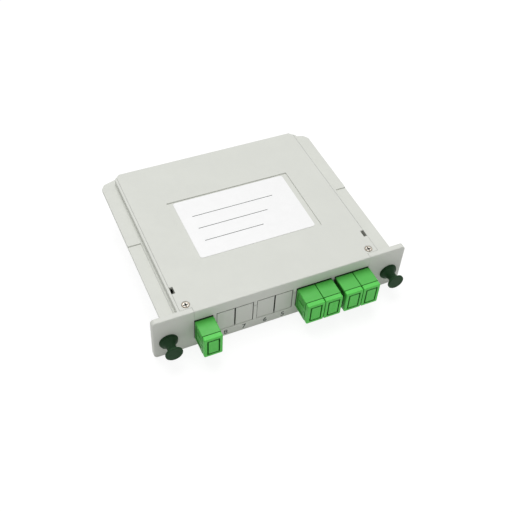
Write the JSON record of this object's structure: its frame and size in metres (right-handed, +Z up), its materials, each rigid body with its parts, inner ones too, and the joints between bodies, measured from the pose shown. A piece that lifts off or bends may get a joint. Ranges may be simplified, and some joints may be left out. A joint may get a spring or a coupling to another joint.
{
  "type": "plc fibre splitter module",
  "caption": "Flat plug-in fibre splitter module: moulded case with side rails, front panel with green capped adapters and port blanks, push-pull latches and a bare label.",
  "frame": {"origin": "on the flat underside, midway along the panel, in the plane of the panel's back face where the module seats", "axes": "+X along the front panel to the right as seen from the front, +Y to the rear of the case, +Z up"},
  "size_m": [0.13, 0.1122, 0.025],
  "materials": {
    "housing": "fine matt moulded plastic, warm light grey",
    "label": "white film label, bare of text",
    "screw": "bright plated steel",
    "green": "semi-gloss green plastic",
    "cap_green": "semi-gloss green soft plastic",
    "latch_black": "black nylon",
    "zirconia": "polished white ceramic",
    "boot": "green soft rubber",
    "module_metal": "drawn steel",
    "fibre_jacket": "buffered fibre jacket"
  },
  "bodies": {
    "housing": {"housing_base": "housing", "top_cover": "housing", "label": "label", "cover_screws": "screw", "port_blank_5": "housing", "port_blank_6": "housing", "port_blank_7": "housing", "port_blank_8": "housing", "adapter_input": "green", "sleeve_input": "zirconia", "connector_input": "green", "ferrule_input": "zirconia", "boot_input": "boot", "adapter_output_1": "green", "sleeve_output_1": "zirconia", "connector_output_1": "green", "ferrule_output_1": "zirconia", "boot_output_1": "boot", "adapter_output_2": "green", "sleeve_output_2": "zirconia", "connector_output_2": "green", "ferrule_output_2": "zirconia", "boot_output_2": "boot", "adapter_output_3": "green", "sleeve_output_3": "zirconia", "connector_output_3": "green", "ferrule_output_3": "zirconia", "boot_output_3": "boot", "adapter_output_4": "green", "sleeve_output_4": "zirconia", "connector_output_4": "green", "ferrule_output_4": "zirconia", "boot_output_4": "boot", "latch_grommet_left": "latch_black", "latch_grommet_right": "latch_black", "splitter_module": "module_metal", "fibre_input": "fibre_jacket", "fibre_output_1": "fibre_jacket", "fibre_output_2": "fibre_jacket", "fibre_output_3": "fibre_jacket", "fibre_output_4": "fibre_jacket"},
    "cap_input": {"dust_cap_input": "cap_green"},
    "cap_output_1": {"dust_cap_output_1": "cap_green"},
    "cap_output_2": {"dust_cap_output_2": "cap_green"},
    "cap_output_3": {"dust_cap_output_3": "cap_green"},
    "cap_output_4": {"dust_cap_output_4": "cap_green"},
    "latch_left": {"latch_plunger_left": "latch_black"},
    "latch_right": {"latch_plunger_right": "latch_black"}
  },
  "joints": [
    {"name": "latch_left_pull", "type": "slide", "parent": "housing", "child": "latch_left", "axis": [0, -1, 0], "range_m": [0, 0.0045]},
    {"name": "latch_right_pull", "type": "slide", "parent": "housing", "child": "latch_right", "axis": [0, -1, 0], "range_m": [0, 0.0045]},
    {"name": "cap_input_pull", "type": "slide", "parent": "housing", "child": "cap_input", "axis": [0, -1, 0], "range_m": [0, 0.02]},
    {"name": "cap_output_1_pull", "type": "slide", "parent": "housing", "child": "cap_output_1", "axis": [0, -1, 0], "range_m": [0, 0.02]},
    {"name": "cap_output_2_pull", "type": "slide", "parent": "housing", "child": "cap_output_2", "axis": [0, -1, 0], "range_m": [0, 0.02]},
    {"name": "cap_output_3_pull", "type": "slide", "parent": "housing", "child": "cap_output_3", "axis": [0, -1, 0], "range_m": [0, 0.02]},
    {"name": "cap_output_4_pull", "type": "slide", "parent": "housing", "child": "cap_output_4", "axis": [0, -1, 0], "range_m": [0, 0.02]}
  ]
}
